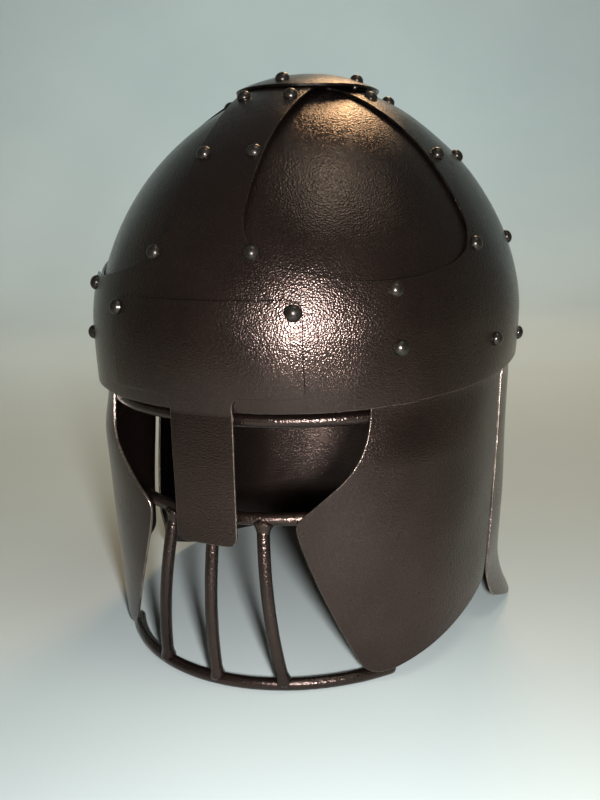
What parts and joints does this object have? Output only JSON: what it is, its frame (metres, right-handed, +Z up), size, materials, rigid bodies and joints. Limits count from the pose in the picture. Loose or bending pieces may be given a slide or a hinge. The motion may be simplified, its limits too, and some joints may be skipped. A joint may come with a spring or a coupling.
{
  "type": "knight helmet",
  "caption": "Riveted frame helmet with infill plates, a T-shaped nasal, fixed cheek and neck plates, a brow bar, a welded face grille and a laced leather liner.",
  "frame": {"origin": "Centre of the bounding box in plan, at the height of the surface that the bottom bar of the grille and the rear of the neck plate stand on.", "axes": "+Z up; the wearer looks along -Y, so the nasal plate and the grille are on the -Y side; +X is the wearer's left."},
  "size_m": [0.2228, 0.2605, 0.2897],
  "materials": {
    "hammered_steel": "dark bronze-brown hammered powder coat, fine orange-peel grain, satin gloss",
    "rivet_steel": "smooth dark bronze, glossier than the plates",
    "liner_leather": "undyed brown leather, matt",
    "lace_leather": "dark brown round leather lace"
  },
  "bodies": {
    "root": {"brow_bar": "hammered_steel", "cheek_left": "hammered_steel", "cheek_right": "hammered_steel", "crown_disc": "hammered_steel", "frame_front": "hammered_steel", "frame_left": "hammered_steel", "frame_rear": "hammered_steel", "frame_right": "hammered_steel", "grille_bar_left": "hammered_steel", "grille_bar_middle": "hammered_steel", "grille_bar_right": "hammered_steel", "grille_bottom_bar": "hammered_steel", "grille_top_bar": "hammered_steel", "infill_front_left": "hammered_steel", "infill_front_right": "hammered_steel", "infill_rear_left": "hammered_steel", "infill_rear_right": "hammered_steel", "leather_liner": "liner_leather", "liner_lace": "lace_leather", "nasal_plate": "hammered_steel", "neck_plate": "hammered_steel", "rivet_band_front_left_1": "rivet_steel", "rivet_band_front_left_2": "rivet_steel", "rivet_band_front_left_3": "rivet_steel", "rivet_band_front_left_4": "rivet_steel", "rivet_band_front_left_5": "rivet_steel", "rivet_band_front_left_6": "rivet_steel", "rivet_band_front_right_1": "rivet_steel", "rivet_band_front_right_2": "rivet_steel", "rivet_band_front_right_3": "rivet_steel", "rivet_band_front_right_4": "rivet_steel", "rivet_band_front_right_5": "rivet_steel", "rivet_band_front_right_6": "rivet_steel", "rivet_band_rear_left_1": "rivet_steel", "rivet_band_rear_left_2": "rivet_steel", "rivet_band_rear_left_3": "rivet_steel", "rivet_band_rear_left_4": "rivet_steel", "rivet_band_rear_left_5": "rivet_steel", "rivet_band_rear_left_6": "rivet_steel", "rivet_band_rear_right_1": "rivet_steel", "rivet_band_rear_right_2": "rivet_steel", "rivet_band_rear_right_3": "rivet_steel", "rivet_band_rear_right_4": "rivet_steel", "rivet_band_rear_right_5": "rivet_steel", "rivet_band_rear_right_6": "rivet_steel", "rivet_cheek_left": "rivet_steel", "rivet_cheek_right": "rivet_steel", "rivet_nasal_left": "rivet_steel", "rivet_nasal_right": "rivet_steel", "rivet_neck_left": "rivet_steel", "rivet_neck_right": "rivet_steel", "rivet_seam_lower_front_left": "rivet_steel", "rivet_seam_lower_front_right": "rivet_steel", "rivet_seam_lower_rear_left": "rivet_steel", "rivet_seam_lower_rear_right": "rivet_steel", "rivet_seam_upper_front_left": "rivet_steel", "rivet_seam_upper_front_right": "rivet_steel", "rivet_seam_upper_rear_left": "rivet_steel", "rivet_seam_upper_rear_right": "rivet_steel"}
  },
  "joints": []
}
